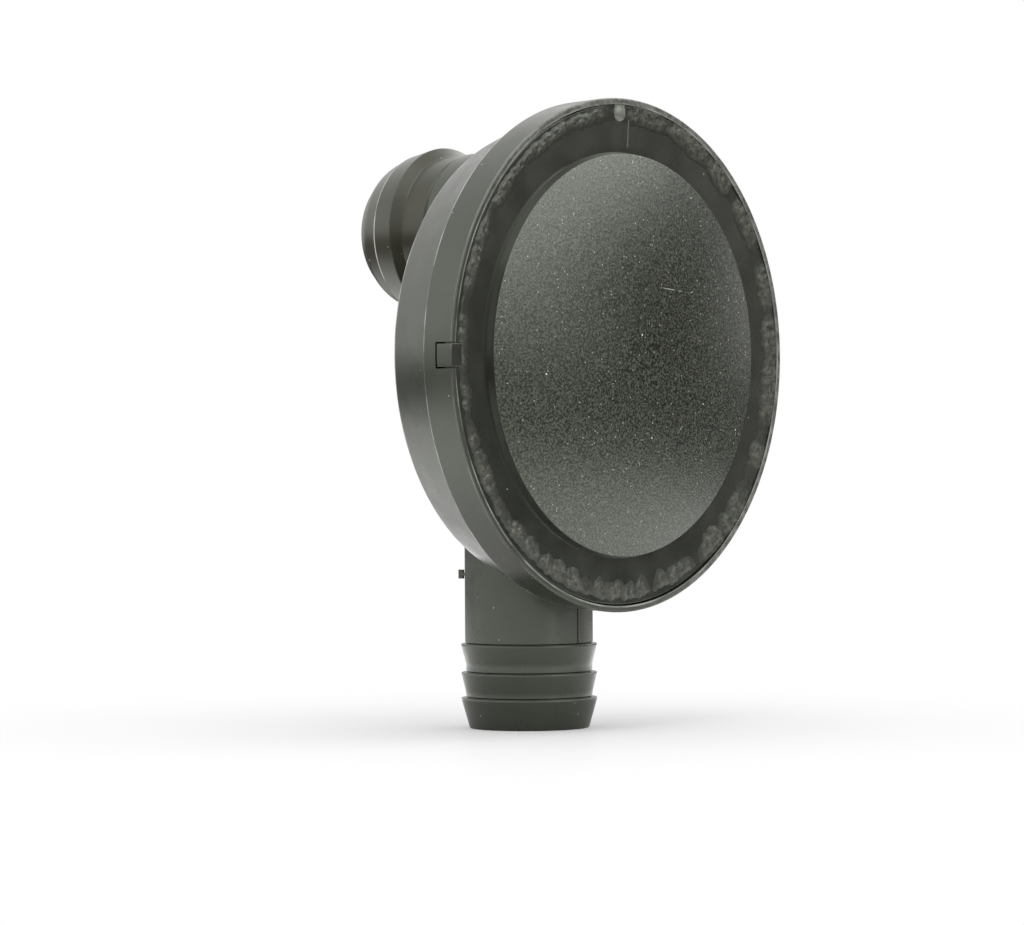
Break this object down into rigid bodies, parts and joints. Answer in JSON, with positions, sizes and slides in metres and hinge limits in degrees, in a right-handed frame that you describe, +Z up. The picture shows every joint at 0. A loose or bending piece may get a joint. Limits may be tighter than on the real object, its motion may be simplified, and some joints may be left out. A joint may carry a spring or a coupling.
{
  "type": "crankcase vent valve",
  "caption": "Round plastic pressure regulating valve with a domed welded cover, a barbed hose spigot below and a rubber push-in port behind.",
  "frame": {"origin": "centre of the hose spigot's end face, which the valve stands on", "axes": "+Z up along the spigot, -Y the way the domed cover looks, +Y the way the plug-in port points, X across the disc"},
  "size_m": [0.078, 0.0496, 0.0962],
  "materials": {
    "housing_plastic": "moulded, satin",
    "cover_plastic": "fine spark texture on the dome",
    "bead_plastic": "melted, crinkled",
    "diaphragm_rubber": "matt",
    "plate_plastic": "moulded, satin",
    "cup_steel": "pressed",
    "rivet_brass": "turned",
    "spring_steel": "drawn wire",
    "grommet_rubber": "matt, slightly dusty"
  },
  "bodies": {
    "housing": {"valve_housing": "housing_plastic", "front_cover": "cover_plastic", "closing_bead": "bead_plastic", "inlet_grommet": "grommet_rubber", "diaphragm": "diaphragm_rubber", "regulating_spring": "spring_steel"},
    "regulator": {"support_plate": "plate_plastic", "spring_cup": "cup_steel", "centre_rivet": "rivet_brass"}
  },
  "joints": [
    {"name": "regulator_lift", "type": "slide", "parent": "housing", "child": "regulator", "axis": [0, 1, 0], "range_m": [0, 0.0034], "stiffness_N_per_m": 600, "springref_m": -0.004, "deforming": ["diaphragm", "regulating_spring"]}
  ]
}
